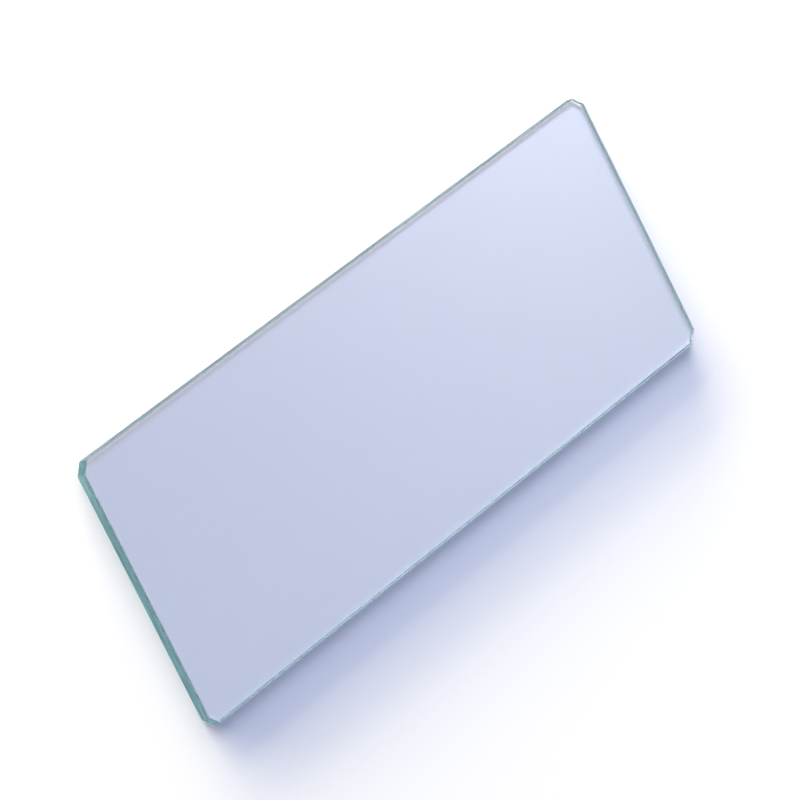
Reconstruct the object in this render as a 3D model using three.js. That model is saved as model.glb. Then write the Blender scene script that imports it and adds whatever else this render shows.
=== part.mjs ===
// A microscope slide: one flat plate of clear glass, cut to a rectangle, with its four
// corners clipped at 45 degrees and a small arris ground along every edge.
// Millimetres, +Z up. The slide lies on one face. The origin is the middle of that
// face, +X runs along the slide and +Y across it.

import * as THREE from "three";

const slideLength = 76.2;
const slideWidth = 25.4;
const slideThickness = 1.0;
const cornerClip = 1.0; // leg of the 45 degree cut at each corner
const edgeArris = 0.12; // leg of the 45 degree bevel along the edges of both faces

// The outline at full size, anticlockwise, with two points at each clipped corner.
function makeOutline(length, width, clip) {
  const endX = length / 2;
  const sideY = width / 2;
  const outline = new THREE.Shape();
  outline.moveTo(endX, -sideY + clip);
  outline.lineTo(endX, sideY - clip);
  outline.lineTo(endX - clip, sideY);
  outline.lineTo(-endX + clip, sideY);
  outline.lineTo(-endX, sideY - clip);
  outline.lineTo(-endX, -sideY + clip);
  outline.lineTo(-endX + clip, -sideY);
  outline.lineTo(endX - clip, -sideY);
  outline.closePath();
  return outline;
}

// The outline stands up as a plain wall, and its first and last arris of height step
// inwards by the same arris, so both faces end in a bevel at 45 degrees.
function makeSlideGeometry() {
  const outline = makeOutline(slideLength, slideWidth, cornerClip);
  const geometry = new THREE.ExtrudeGeometry(outline, {
    depth: slideThickness - 2 * edgeArris,
    steps: 1,
    bevelEnabled: true,
    bevelThickness: edgeArris,
    bevelSize: edgeArris,
    bevelOffset: -edgeArris,
    bevelSegments: 1,
  });
  geometry.translate(0, 0, edgeArris);
  return geometry;
}

const clearGlass = new THREE.MeshStandardMaterial({
  name: "clear_glass",
  color: 0xc6d2e6,
  roughness: 0.03,
  metalness: 0,
  transparent: true,
  opacity: 0.35,
});

const slide = new THREE.Mesh(makeSlideGeometry(), clearGlass);
slide.name = "slide";

const microscopeSlide = new THREE.Group();
microscopeSlide.name = "microscope_slide";
microscopeSlide.add(slide);

export default microscopeSlide;
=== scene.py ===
# A microscope slide: one plate of clear glass that lies on white paper.
# Everything is in metres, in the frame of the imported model.

import bmesh
import bpy
import math
import numpy as np
from mathutils import Matrix, Vector


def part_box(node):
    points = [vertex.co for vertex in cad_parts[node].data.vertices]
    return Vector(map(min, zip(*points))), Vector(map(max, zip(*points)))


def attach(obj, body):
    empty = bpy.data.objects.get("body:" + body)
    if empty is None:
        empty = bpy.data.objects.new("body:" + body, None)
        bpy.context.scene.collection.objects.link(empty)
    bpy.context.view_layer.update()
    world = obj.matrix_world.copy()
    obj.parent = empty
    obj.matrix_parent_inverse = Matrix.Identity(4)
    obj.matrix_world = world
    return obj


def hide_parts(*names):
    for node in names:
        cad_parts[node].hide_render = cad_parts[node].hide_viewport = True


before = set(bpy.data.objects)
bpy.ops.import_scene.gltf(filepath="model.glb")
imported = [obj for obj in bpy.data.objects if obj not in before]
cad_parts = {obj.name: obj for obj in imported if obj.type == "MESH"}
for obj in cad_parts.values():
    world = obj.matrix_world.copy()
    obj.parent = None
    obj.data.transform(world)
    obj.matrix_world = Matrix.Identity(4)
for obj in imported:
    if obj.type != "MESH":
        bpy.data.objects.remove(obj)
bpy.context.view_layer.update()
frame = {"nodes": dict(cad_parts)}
print("frame loaded:", ", ".join(frame["nodes"]))

scene = bpy.context.scene
scene.view_settings.view_transform = "Standard"


def hexColour(text, alpha=1.0):
    # sRGB hex to linear: the lower part is a straight line, the rest a 2.4 power
    channels = [int(text[i:i + 2], 16) / 255 for i in (0, 2, 4)]
    linear = [c / 12.92 if c <= 0.04045 else ((c + 0.055) / 1.055) ** 2.4 for c in channels]
    return (*linear, alpha)


def addNode(tree, kind, settings=None, links=None):
    # A setting goes to the node itself where the node has one of that name, else to its socket.
    # A socket goes by its name, or by its number where names repeat: a Mix node of colours has
    # its factor at 0, its two colours at 6 and 7, and its result at output 2.
    node = tree.nodes.new(kind)
    for name, value in (settings or {}).items():
        if isinstance(name, str) and hasattr(node, name):
            setattr(node, name, value)
        else:
            node.inputs[name].default_value = value
    for name, source in (links or {}).items():
        tree.links.new(source, node.inputs[name])
    return node


def startMaterial(name):
    material = bpy.data.materials.new(name)
    material.use_nodes = True
    material.node_tree.nodes.clear()
    return material, material.node_tree


# the CAD slide's points, and those of them that lie on its +X end wall
slideLow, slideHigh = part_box("slide")
cadMesh = frame["nodes"]["slide"].data
cadPoints = np.empty(3 * len(cadMesh.vertices), np.float32)
cadMesh.vertices.foreach_get("co", cadPoints)
cadPoints = cadPoints.reshape(-1, 3).astype(float)
wallDepth = 1e-6
endPoints = cadPoints[cadPoints[:, 0] > slideHigh[0] - wallDepth]

slideValues = {
    "halfLength": slideHigh[0],
    "halfWidth": slideHigh[1],
    "thickness": slideHigh[2] - slideLow[2],
    "cornerClip": slideHigh[1] - endPoints[:, 1].max(),
    "arris": endPoints[:, 2].min() - slideLow[2],
    "cornerRound": 0.0002,   # the grinding stone takes the point off each corner
    "arrisFullness": 1.3,    # 1 is a flat 45 degree bevel and 2 a quarter round
    "sideStep": 0.0010,      # spacing of the points along the straight sides
    "cornerSteps": 4,
    "arrisSteps": 6,
    "wallSteps": 6,
    "faceRings": 3,
    "weldDistance": 1e-7,
    "sharpAngle": 20,        # degrees past which an edge is shaded as a sharp one
    "longFacing": 0.99,      # a rim face that faces Y this much is on a long edge
    "clipFacing": 0.5,       # and one that faces both X and Y this much is on a clipped corner
    "arrisGround": 0.7,      # how dull the arris is beside the walls
    "arrisTint": 0.6,        # and how much of their colour it has
    "clipGround": 0.25,      # the clipped corners are glossier than the ground sides
}


def walkOutline(v):
    # The outline has eight sides that face every 45 degrees. Side k lies at its own distance
    # from the middle, and corner k is rounded about the point that lies one radius inside
    # both of its sides. Returns, for each point along the outline, that centre and the
    # direction in which the outline is one radius away.
    sides = np.arange(8)
    turns = sides * math.pi / 4
    normals = np.stack([np.cos(turns), np.sin(turns)], 1)
    straight = np.where(sides % 4 == 0, v["halfLength"], v["halfWidth"])
    slant = (v["halfLength"] + v["halfWidth"] - v["cornerClip"]) / math.sqrt(2)
    inside = np.where(sides % 2 == 1, slant, straight) - v["cornerRound"]
    pairs = np.stack([normals, np.roll(normals, -1, 0)], 1)
    reach = np.stack([inside, np.roll(inside, -1)], 1)[..., None]
    centres = np.linalg.solve(pairs, reach)[..., 0]
    arc = np.linspace(0, 1, v["cornerSteps"] + 1)
    points, angles = [], []
    for k in sides:
        start, end = centres[k - 1], centres[k]
        halfSteps = round(np.linalg.norm(end - start) / v["sideStep"] / 2)
        steps = max(1, 2 * halfSteps)
        share = np.arange(1, steps)[:, None] / steps
        points.append(start + (end - start) * share)
        angles.append(np.full(steps - 1, turns[k]))
        points.append(np.repeat(end[None], len(arc), 0))
        angles.append(turns[k] + arc * math.pi / 4)
    return np.concatenate(points), np.concatenate(angles)


def edgeProfile(v):
    # From the lower face up to the upper one. The arris is a superellipse quarter:
    # inset = arris x (1 - cos^(2/p)), height = arris x (1 - sin^(2/p)), with p its fullness.
    turn = np.linspace(0, math.pi / 2, v["arrisSteps"] + 1)
    power = 2 / v["arrisFullness"]
    inset = v["arris"] * (1 - np.cos(turn) ** power)
    drop = v["arris"] * (1 - np.sin(turn) ** power)
    lower = np.stack([inset[::-1], drop[::-1]], 1)
    upper = np.stack([inset, v["thickness"] - drop], 1)
    rise = np.linspace(v["arris"], v["thickness"] - v["arris"], v["wallSteps"] + 1)[1:-1]
    wall = np.stack([np.zeros_like(rise), rise], 1)
    return np.concatenate([lower, wall, upper])


def shapeSlide(v):
    # Each row of the grid runs once round the slide, at its own height and inset:
    # point = centre + (radius - inset) x outward direction. The rows of the rim follow the
    # edge profile. Those of the two faces also move by their share towards the spine, the
    # line down the face's middle, and the last one lies on it.
    centres, angles = walkOutline(v)
    outward = np.stack([np.cos(angles), np.sin(angles)], 1)
    profile = edgeProfile(v)
    faceShare = np.arange(1, v["faceRings"] + 1) / v["faceRings"]
    faceInset = np.full(v["faceRings"], v["arris"])
    share = np.concatenate([faceShare[::-1], np.zeros(len(profile)), faceShare])
    inset = np.concatenate([faceInset, profile[:, 0], faceInset])
    height = np.concatenate([np.zeros(v["faceRings"]), profile[:, 1],
                             np.full(v["faceRings"], v["thickness"])])
    flat = centres + (v["cornerRound"] - inset[:, None, None]) * outward
    spineEnd = v["halfLength"] - v["halfWidth"]
    spine = np.zeros_like(flat)
    spine[..., 0] = np.clip(flat[..., 0], -spineEnd, spineEnd)
    flat = flat + (spine - flat) * share[:, None, None]
    level = np.broadcast_to(height[:, None, None], (*flat.shape[:2], 1))
    return np.concatenate([flat, level], -1), height, outward


def markEdges(mesh, v, row, column, height, outward):
    # Gives every face how ground it is, how much of the walls' colour it has, and whether it
    # is on a long edge. Rows of the rim lie between those of the two faces.
    isRim = (row >= v["faceRings"]) & (row < len(height) - v["faceRings"] - 1)
    middle = (height[row] + height[row + 1]) / 2
    isArris = isRim & ((middle < v["arris"]) | (middle > v["thickness"] - v["arris"]))
    facing = np.abs(outward + np.roll(outward, -1, 0))[column] / 2
    isLong = isRim & (facing[:, 1] > v["longFacing"])
    isClip = isRim & (facing.min(1) > v["clipFacing"])
    side = np.where(isArris, v["arrisGround"], 1.0)
    ground = np.where(isClip, v["clipGround"], side) * isRim
    tint = np.where(isArris, v["arrisTint"], 1.0) * isRim
    for name, values in (("groundEdge", ground), ("wallTint", tint), ("longEdge", isLong)):
        marks = mesh.attributes.new(name, "FLOAT", "FACE")
        marks.data.foreach_set("value", values.astype(np.float32))


def unrollEdges(mesh, rim, row, column, height):
    # u = distance run along the rim's first row, v = height, both in metres
    steps = np.linalg.norm(np.roll(rim, -1, 0) - rim, axis=1)
    run = np.concatenate([[0.0], np.cumsum(steps)])
    along = np.stack([run[column], run[column + 1], run[column + 1], run[column]], -1)
    up = np.stack([height[row], height[row], height[row + 1], height[row + 1]], -1)
    uvs = mesh.uv_layers.new(name="alongEdge")
    uvs.data.foreach_set("uv", np.stack([along, up], -1).reshape(-1).astype(np.float32))


def makeSlide(v):
    # one quad between each two rows and columns, and the last column joins the first
    grid, height, outward = shapeSlide(v)
    rows, around = grid.shape[:2]
    row, column = np.meshgrid(np.arange(rows - 1), np.arange(around), indexing="ij")
    row, column = row.reshape(-1), column.reshape(-1)
    here, there = row * around + column, row * around + (column + 1) % around
    corners = np.stack([here, there, there + around, here + around], -1)
    mesh = bpy.data.meshes.new("clearSlide")
    mesh.from_pydata(grid.reshape(-1, 3).tolist(), [], corners.tolist())
    markEdges(mesh, v, row, column, height, outward)
    unrollEdges(mesh, grid[v["faceRings"]], row, column, height)
    return mesh


def weldSpine(mesh, v):
    # The two halves of each face meet on the spine, and the fans at its ends close to a point.
    # The arris and the rounded corners are shaded smooth, and the faces and walls stay flat.
    work = bmesh.new()
    work.from_mesh(mesh)
    bmesh.ops.remove_doubles(work, verts=work.verts, dist=v["weldDistance"])
    bmesh.ops.dissolve_degenerate(work, edges=work.edges, dist=v["weldDistance"])
    work.to_mesh(mesh)
    work.free()
    mesh.shade_smooth()
    mesh.set_sharp_from_angle(angle=math.radians(v["sharpAngle"]))
    mesh.update()


slideMesh = makeSlide(slideValues)
weldSpine(slideMesh, slideValues)
slide = bpy.data.objects.new("clearSlide", slideMesh)
scene.collection.objects.link(slide)
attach(slide, "root")
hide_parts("slide")
print("slide mesh:", len(slideMesh.vertices), "points,", len(slideMesh.polygons), "faces")

glassValues = {
    "ior": 1.52,                          # soda-lime glass
    "faceColour": "FFFFFF",
    "endColours": ("79A9AC", "C0EAE4"),   # where the grinding is dullest, then finest
    "longShadedColours": ("5A7888", "83A9B1"),  # painted shade: the long edges are coloured darker, greyer and bluer than the ends
    "edgeRoughness": (0.45, 0.25),        # dullest, then finest
    "groundScatter": (0.39, 0.18),        # share of the light that the frost scatters: ends, long edges
    "streakSize": (0.010, 0.0004),        # the longest marks; each finer set is half as large
    "streakSets": 4,                      # down to 0.05 mm: real grinding lines are about 0.04 mm apart
    "streakFineness": 0.7,                # how strong each finer set is beside the one before
    "streakStart": (25.7, 0.4, 0.0),      # which stretch of the pattern the edges show
    "streakRange": (0.40, 0.60),          # the noise that is drawn from dullest to finest
    "absorbColour": "6CD0CE",
    "absorbDensity": 9.5,                 # per metre
}


def sodaLimeGlass(v):
    # Soda-lime sheet glass, fire-polished faces and fine-ground edges. Its iron takes out red,
    # so it looks clear through the face and teal green where light has run along the plate.
    # The walls' own colour carries half of that teal, for viewers that don't trace light in glass.
    # The grinding leaves fine lines along the edges, some of them duller and greyer, and a frost
    # that scatters part of the light, so the far edges look slate through the face. The long edges
    # are also coloured darker, greyer and bluer than the ends: that is painted shade.
    material, tree = startMaterial("sodaLimeGlassPolishedGroundEdge")
    ground = addNode(tree, "ShaderNodeAttribute", {"attribute_name": "groundEdge"})
    wall = addNode(tree, "ShaderNodeAttribute", {"attribute_name": "wallTint"})
    longSide = addNode(tree, "ShaderNodeAttribute", {"attribute_name": "longEdge"})
    along = addNode(tree, "ShaderNodeUVMap", {"uv_map": "alongEdge"})
    length, width = v["streakSize"]
    stretch = addNode(tree, "ShaderNodeMapping",
                      {"Scale": (1 / length, 1 / width, 1), "Location": v["streakStart"]},
                      {"Vector": along.outputs["UV"]})
    streaks = addNode(tree, "ShaderNodeTexNoise",
                      {"Scale": 1.0, "Detail": v["streakSets"] - 1, "Roughness": v["streakFineness"]},
                      {"Vector": stretch.outputs[0]})
    fine = addNode(tree, "ShaderNodeMapRange",
                   {"From Min": v["streakRange"][0], "From Max": v["streakRange"][1]},
                   {"Value": streaks.outputs["Fac"]})

    # the ends' colours, then the long edges' darker ones, which are painted shade
    edges = []
    for dull, bright in (v["endColours"], v["longShadedColours"]):
        edges.append(addNode(tree, "ShaderNodeMix",
                             {"data_type": "RGBA", 6: hexColour(dull), 7: hexColour(bright)},
                             {0: fine.outputs[0]}))
    edgeColour = addNode(tree, "ShaderNodeMix", {"data_type": "RGBA"},
                         {0: longSide.outputs["Fac"], 6: edges[0].outputs[2], 7: edges[1].outputs[2]})
    colour = addNode(tree, "ShaderNodeMix", {"data_type": "RGBA", 6: hexColour(v["faceColour"])},
                     {0: wall.outputs["Fac"], 7: edgeColour.outputs[2]})

    edgeRough = addNode(tree, "ShaderNodeMapRange",
                        {"To Min": v["edgeRoughness"][0], "To Max": v["edgeRoughness"][1]},
                        {"Value": fine.outputs[0]})
    rough = addNode(tree, "ShaderNodeMath", {"operation": "MULTIPLY"},
                    {0: ground.outputs["Fac"], 1: edgeRough.outputs[0]})

    frost = addNode(tree, "ShaderNodeMapRange",
                    {"To Min": v["groundScatter"][0], "To Max": v["groundScatter"][1]},
                    {"Value": longSide.outputs["Fac"]})
    scattered = addNode(tree, "ShaderNodeMath", {"operation": "MULTIPLY"},
                        {0: ground.outputs["Fac"], 1: frost.outputs[0]})
    clear = addNode(tree, "ShaderNodeMath", {"operation": "SUBTRACT", 0: 1.0},
                    {1: scattered.outputs[0]})

    glass = addNode(tree, "ShaderNodeBsdfPrincipled", {"IOR": v["ior"]},
                    {"Base Color": colour.outputs[2], "Roughness": rough.outputs[0],
                     "Transmission Weight": clear.outputs[0]})
    body = addNode(tree, "ShaderNodeVolumeAbsorption",
                   {"Color": hexColour(v["absorbColour"]), "Density": v["absorbDensity"]})
    addNode(tree, "ShaderNodeOutputMaterial",
            links={"Surface": glass.outputs[0], "Volume": body.outputs[0]})
    return material


slideMesh.materials.append(sodaLimeGlass(glassValues))
print("glass on the slide")

floorValues = {
    "halfSize": 2.0,
    "gap": 0.00002,          # air left under the slide
    "colour": "F2F2F4",
    "shown": 1.15,           # the eye and the glass see the lit paper this much brighter: white
}

worldValues = {
    "fillColour": "D1D8FF",
    "fillStrength": 0.478,
    "lowColour": "D9ECFF",   # the low key comes over the long +Y edge and through the glass
    "lowStrength": 1.50,
    "lowDirection": (-0.12, 0.92, 0.42),
    "lowSpread": (0.72, 0.97),  # cosines from its middle at which the light starts and is full
    "shownColour": "FFFFFF",    # what the eye, gloss and glass see instead
}

# Two long low softboxes give the slide its soft shadow. They are far enough off to light the
# paper evenly. Power is in watts in all three lamps.
lowestValues = {
    "colour": "FFF3C5",
    "power": 27500.0,
    "place": (-4.0, 20.0, 1.2),
    "size": (44.0, 3.0),
    "throughGlass": False,
}

lowerValues = {
    "colour": "FFF3C5",
    "power": 13700.0,
    "place": (-4.0, 20.0, 2.5),
    "size": (44.0, 6.0),
    "throughGlass": False,
}

# a small near softbox, whose light falls off along the slide
nearValues = {
    "colour": "F4F7FF",
    "power": 0.0194,
    "place": (0.05, 0.05, 0.04),
    "size": (0.072, 0.072),
    "middle": 3.33,          # brighter in the middle and dark at the rim: it averages 1
    "throughGlass": True,
}


def shownRays(tree):
    # 1 for what the eye sees, directly or by way of gloss and glass, and 0 for light on the stage
    path = addNode(tree, "ShaderNodeLightPath")
    eyeOrGloss = addNode(tree, "ShaderNodeMath", {"operation": "ADD"},
                         {0: path.outputs["Is Camera Ray"], 1: path.outputs["Is Glossy Ray"]})
    orGlass = addNode(tree, "ShaderNodeMath", {"operation": "ADD", "use_clamp": True},
                      {0: eyeOrGloss.outputs[0], 1: path.outputs["Is Transmission Ray"]})
    unscattered = addNode(tree, "ShaderNodeMath", {"operation": "LESS_THAN", 1: 0.5},
                          {0: path.outputs["Diffuse Depth"]})
    shown = addNode(tree, "ShaderNodeMath", {"operation": "MULTIPLY"},
                    {0: orGlass.outputs[0], 1: unscattered.outputs[0]})
    return shown.outputs[0]


def makeFloor(v):
    # a square with the slide over its middle
    size, drop = v["halfSize"], v["gap"]
    corners = [(-size, -size, -drop), (size, -size, -drop), (size, size, -drop), (-size, size, -drop)]
    mesh = bpy.data.meshes.new("paperFloor")
    mesh.from_pydata(corners, [], [(0, 1, 2, 3)])
    floor = bpy.data.objects.new("paperFloor", mesh)
    scene.collection.objects.link(floor)
    # matt white paper: it scatters all light evenly and has no gloss
    material, tree = startMaterial("mattWhitePaper")
    gain = addNode(tree, "ShaderNodeMapRange", {"To Min": 1.0, "To Max": v["shown"]},
                   {"Value": shownRays(tree)})
    lit = addNode(tree, "ShaderNodeVectorMath", {"operation": "SCALE", 0: hexColour(v["colour"])[:3]},
                  {"Scale": gain.outputs[0]})
    matt = addNode(tree, "ShaderNodeBsdfDiffuse", links={"Color": lit.outputs[0]})
    addNode(tree, "ShaderNodeOutputMaterial", links={"Surface": matt.outputs[0]})
    mesh.materials.append(material)
    return floor


def lightWorld(v):
    # an even fill and one broad low key light the scene; the eye, gloss and glass see plain white
    world = bpy.data.worlds.new("studioWorld")
    scene.world = world
    world.use_nodes = True
    tree = world.node_tree
    tree.nodes.clear()
    place = addNode(tree, "ShaderNodeTexCoord")
    towards = addNode(tree, "ShaderNodeVectorMath",
                      {"operation": "DOT_PRODUCT", 1: Vector(v["lowDirection"]).normalized()},
                      {0: place.outputs["Generated"]})
    starts, full = v["lowSpread"]
    soft = addNode(tree, "ShaderNodeMapRange",
                   {"interpolation_type": "SMOOTHSTEP", "From Min": starts, "From Max": full,
                    "To Max": v["lowStrength"]},
                   {"Value": towards.outputs["Value"]})
    fill = addNode(tree, "ShaderNodeBackground",
                   {"Color": hexColour(v["fillColour"]), "Strength": v["fillStrength"]})
    key = addNode(tree, "ShaderNodeBackground", {"Color": hexColour(v["lowColour"])},
                  {"Strength": soft.outputs[0]})
    lights = addNode(tree, "ShaderNodeAddShader", links={0: fill.outputs[0], 1: key.outputs[0]})
    white = addNode(tree, "ShaderNodeBackground",
                    {"Color": hexColour(v["shownColour"]), "Strength": 1.0})
    mix = addNode(tree, "ShaderNodeMixShader",
                  links={0: shownRays(tree), 1: lights.outputs[0], 2: white.outputs[0]})
    addNode(tree, "ShaderNodeOutputWorld", links={"Surface": mix.outputs[0]})


def addSoftbox(name, v):
    # No lamp shows itself. The long ones light the paper only, and the glass stops their light,
    # which gives the slide its shadow. The near one also shines through the glass.
    data = bpy.data.lights.new(name, "AREA")
    data.shape = "ELLIPSE"
    data.size, data.size_y = v["size"]
    data.color = hexColour(v["colour"])[:3]
    data.energy = v["power"]
    data.cycles.use_multiple_importance_sampling = v["throughGlass"]
    lamp = bpy.data.objects.new(name, data)
    lamp.location = v["place"]
    lamp.rotation_euler = Vector(v["place"]).to_track_quat("Z", "Y").to_euler()
    lamp.visible_camera = False
    lamp.visible_glossy = False
    lamp.visible_transmission = v["throughGlass"]
    if v["throughGlass"]:
        fadeToRim(data, v["middle"])
    else:
        lamp.light_linking.receiver_collection = paperOnly
    scene.collection.objects.link(lamp)


def fadeToRim(data, middle):
    # A softbox is brightest in the middle, so its reflection in the glass has no hard outline.
    # The lamp's face runs from 0 to 1 both ways, so its middle and its radius are both half.
    half = 0.5
    data.use_nodes = True
    tree = data.node_tree
    tree.nodes.clear()
    place = addNode(tree, "ShaderNodeNewGeometry")
    fromMiddle = addNode(tree, "ShaderNodeVectorMath", {"operation": "DISTANCE", 1: (half, half, 0.0)},
                         {0: place.outputs["Parametric"]})
    fade = addNode(tree, "ShaderNodeMapRange",
                   {"interpolation_type": "SMOOTHSTEP", "From Min": half, "From Max": 0.0,
                    "To Max": middle},
                   {"Value": fromMiddle.outputs["Value"]})
    glow = addNode(tree, "ShaderNodeEmission", links={"Strength": fade.outputs[0]})
    addNode(tree, "ShaderNodeOutputLight", links={"Surface": glow.outputs[0]})


paperOnly = bpy.data.collections.new("paperOnly")  # all that the long softboxes light
paperOnly.objects.link(makeFloor(floorValues))
lightWorld(worldValues)
addSoftbox("lowestSoftbox", lowestValues)
addSoftbox("lowerSoftbox", lowerValues)
addSoftbox("nearSoftbox", nearValues)

glassBounces = 96  # light caught in the plate turns many times before it leaves by an edge
paperBounces = 4
scene.cycles.max_bounces = glassBounces
scene.cycles.transmission_bounces = glassBounces
scene.cycles.glossy_bounces = glassBounces
scene.cycles.diffuse_bounces = paperBounces
scene.cycles.blur_glossy = 0  # the polished faces stay sharp after the ground edges
print("stage and lamps made")

cameraValues = {
    "distance": 0.6277,
    "azimuth": -105.5,       # round the slide: 0 looks along +Y
    "elevation": 43.55,
    "roll": 74.25,           # turned anticlockwise about its own view
    "lens": 322.0,
    "farthest": 10.0,        # past this it sees nothing
}


def makeCamera(v):
    # stands off from the slide's middle and looks at it
    centre = (Vector(slideLow) + Vector(slideHigh)) / 2
    across, up = math.radians(v["azimuth"]), math.radians(v["elevation"])
    back = Vector((math.sin(across) * math.cos(up), -math.cos(across) * math.cos(up), math.sin(up)))
    roll = Matrix.Rotation(math.radians(v["roll"]), 3, "Z")
    turn = (-back).to_track_quat("-Z", "Y").to_matrix() @ roll
    data = bpy.data.cameras.new("camera")
    data.lens = v["lens"]
    data.clip_end = v["farthest"]
    camera = bpy.data.objects.new("camera", data)
    camera.matrix_world = Matrix.Translation(centre + back * v["distance"]) @ turn.to_4x4()
    scene.collection.objects.link(camera)
    scene.camera = camera


makeCamera(cameraValues)
print("camera set")
